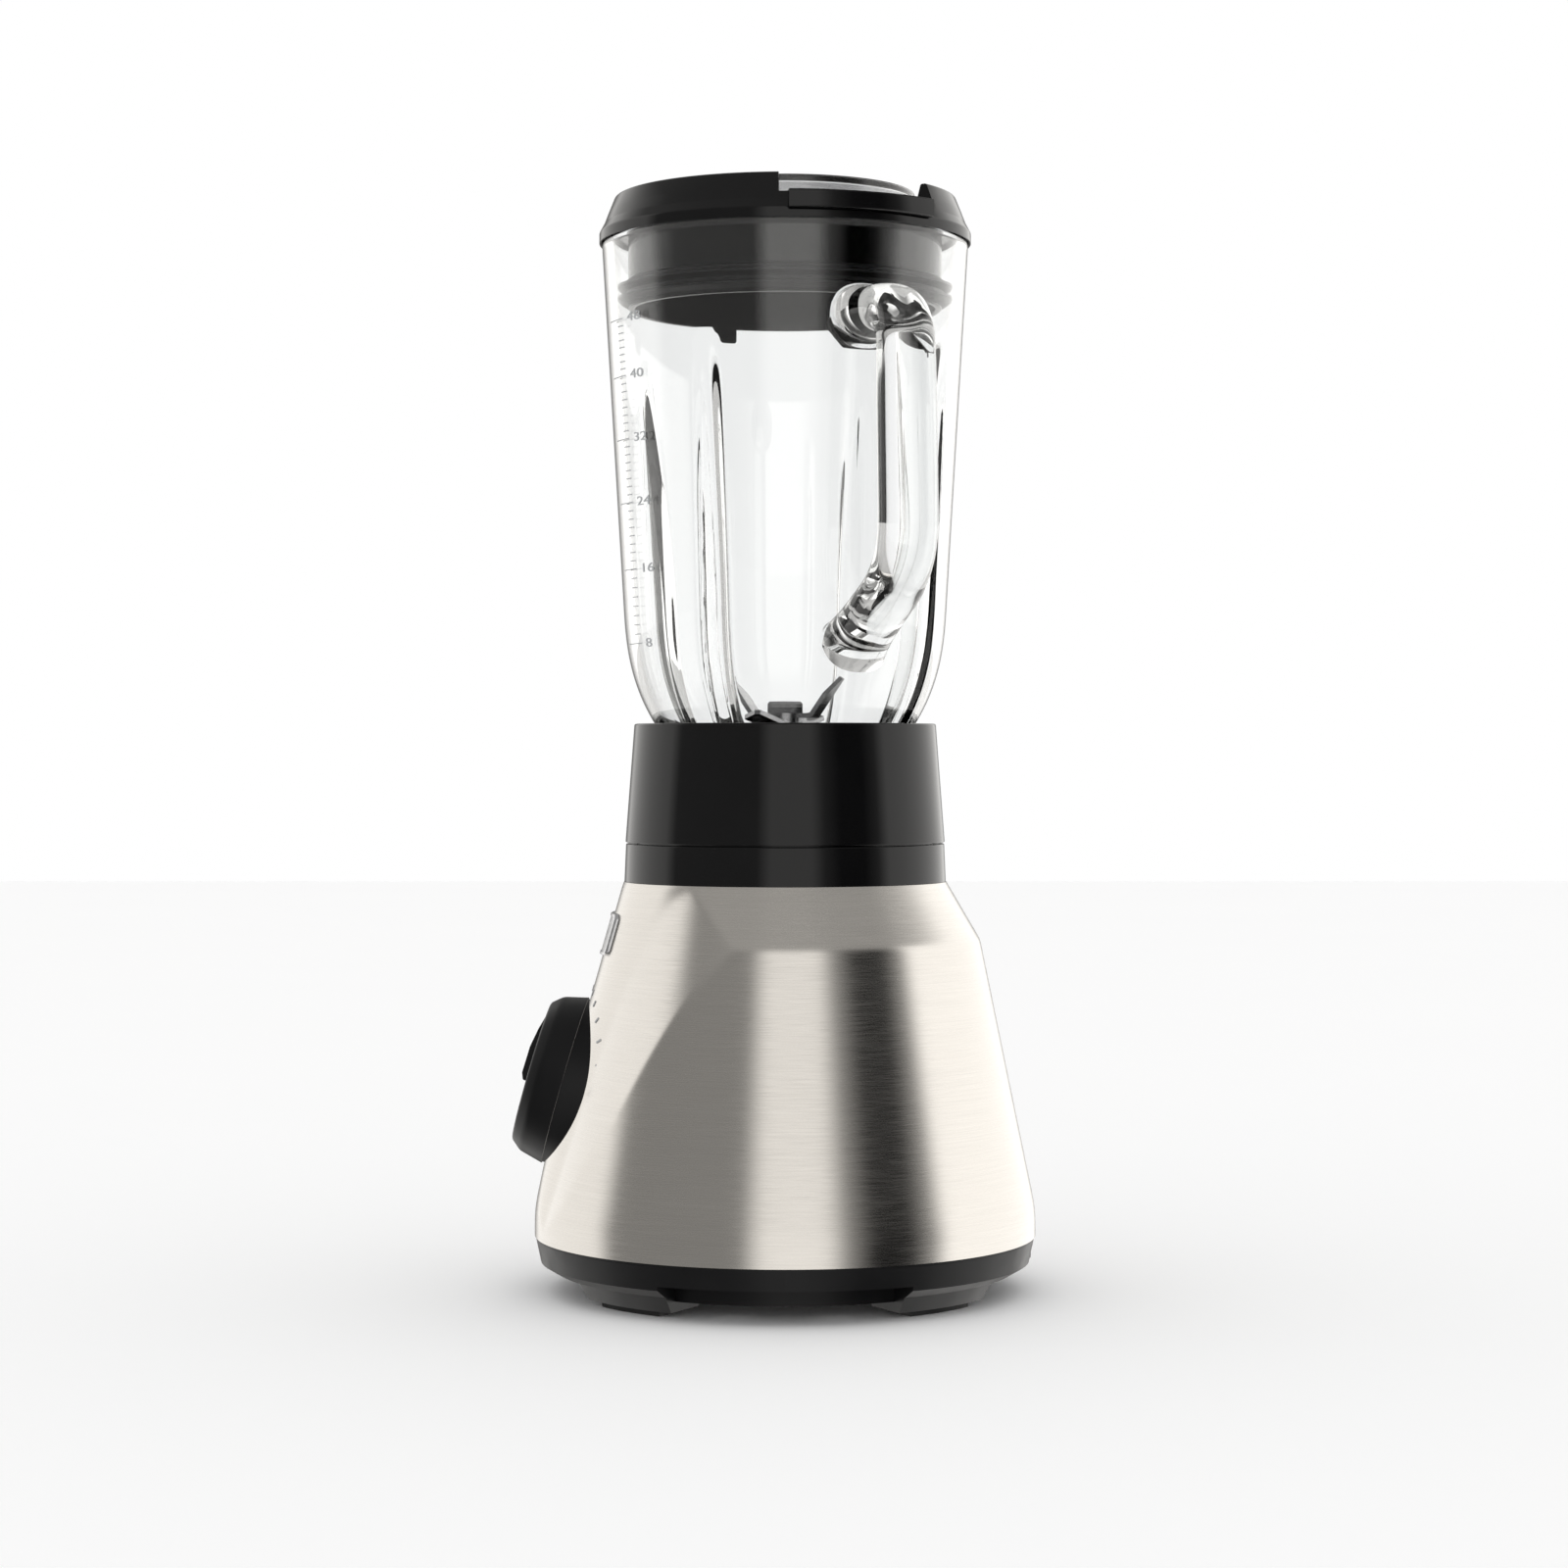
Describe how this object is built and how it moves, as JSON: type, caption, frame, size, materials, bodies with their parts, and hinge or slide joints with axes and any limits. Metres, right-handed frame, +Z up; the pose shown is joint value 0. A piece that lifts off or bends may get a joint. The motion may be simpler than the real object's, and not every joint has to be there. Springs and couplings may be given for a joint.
{
  "type": "countertop blender",
  "caption": "Countertop blender with a brushed steel motor base, rotary control knob, lift-off fluted glass jar with handle, bent blades and a black lid with a clear measuring cap.",
  "frame": {"origin": "on the motor axis at the level of the surface the blender stands on", "axes": "+Z up along the motor and blade axis; the control panel and knob face -Y and the cord inlet faces +Y; the jar handle points 25 degrees from +X towards +Y"},
  "size_m": [0.1913, 0.1926, 0.402],
  "materials": {
    "brushed_steel_shell": "circumferentially brushed",
    "satin_black_plastic": "satin",
    "gloss_black_plastic": "glossy",
    "clear_glass": "clear, polished",
    "clear_cap_plastic": "clear, glossy",
    "black_rubber": "matte",
    "silicone": "matte",
    "badge_metal": "satin plate",
    "blade_steel": "ground",
    "plain_steel": "zinc plated",
    "lamination_steel": "stacked sheets, varnished",
    "cast_bracket": "die cast",
    "copper_winding": "enamelled copper wire",
    "commutator_copper": "turned copper",
    "sintered_bronze": "sintered",
    "carbon": "matte",
    "fan_plastic": "natural nylon",
    "circuit_board": "solder mask",
    "component": "moulded",
    "switch_plastic": "moulded"
  },
  "bodies": {
    "base": {"housing_shell": "brushed_steel_shell", "housing_tabs": "plain_steel", "badge_plate": "badge_metal", "bottom_pan": "satin_black_plastic", "rubber_feet": "black_rubber", "pan_screws": "plain_steel", "cord_inlet_bushing": "black_rubber", "control_board": "circuit_board", "board_components": "component", "board_screws": "plain_steel", "terminal_block": "component", "air_baffle": "satin_black_plastic", "motor_chassis": "satin_black_plastic", "seat_ring_screws": "plain_steel", "vibration_mounts": "black_rubber", "chassis_screws": "plain_steel", "upper_bearing_bracket": "cast_bracket", "lower_bearing_bracket": "cast_bracket", "upper_bearing": "sintered_bronze", "lower_bearing": "sintered_bronze", "stator_core": "lamination_steel", "field_coils": "copper_winding", "motor_through_bolts": "plain_steel", "brush_holders": "component", "carbon_brushes": "carbon", "brush_springs": "plain_steel", "jar_seat_ring": "gloss_black_plastic", "drip_seal": "silicone", "dial_bezel": "satin_black_plastic", "switch_bracket": "switch_plastic", "rotary_switch": "switch_plastic", "dial_screws": "plain_steel"},
    "rotor": {"motor_shaft": "plain_steel", "armature_core": "lamination_steel", "armature_windings": "copper_winding", "commutator": "commutator_copper", "cooling_fan": "fan_plastic", "drive_stud": "plain_steel"},
    "knob": {"control_knob": "satin_black_plastic", "switch_spindle": "switch_plastic", "knob_clip": "plain_steel"},
    "jar": {"glass_jar": "clear_glass", "jar_collar": "gloss_black_plastic", "jar_gasket": "silicone", "blade_housing": "gloss_black_plastic", "blade_bushings": "sintered_bronze", "shaft_seal": "silicone"},
    "blades": {"blade_shaft": "blade_steel", "lower_blade": "blade_steel", "upper_blade": "blade_steel", "blade_nut": "blade_steel", "blade_washers": "blade_steel", "driven_coupling": "plain_steel", "thrust_washer": "plain_steel"},
    "lid": {"lid": "gloss_black_plastic", "lid_gasket": "silicone"},
    "cap": {"measuring_cap": "clear_cap_plastic"}
  },
  "joints": [
    {"name": "motor_spin", "type": "hinge", "parent": "base", "child": "rotor", "pos_m": [0, 0, 0.1], "axis": [0, 0, 1], "continuous": true},
    {"name": "knob_turn", "type": "hinge", "parent": "base", "child": "knob", "pos_m": [0, -0.08032, 0.0764], "axis": [0, -0.9617, 0.2741], "range_deg": [-45, 135]},
    {"name": "jar_lift", "type": "slide", "parent": "base", "child": "jar", "axis": [0, 0, 1], "range_m": [0, 0.06]},
    {"name": "blade_spin", "type": "hinge", "parent": "jar", "child": "blades", "pos_m": [0, 0, 0.21], "axis": [0, 0, 1], "continuous": true},
    {"name": "lid_lift", "type": "slide", "parent": "jar", "child": "lid", "axis": [0, 0, 1], "range_m": [0, 0.07]},
    {"name": "cap_lift", "type": "slide", "parent": "lid", "child": "cap", "axis": [0, 0, 1], "range_m": [0, 0.04]}
  ],
  "couplings": [
    {"joint": "blade_spin", "follows": "motor_spin", "ratio": 1}
  ]
}
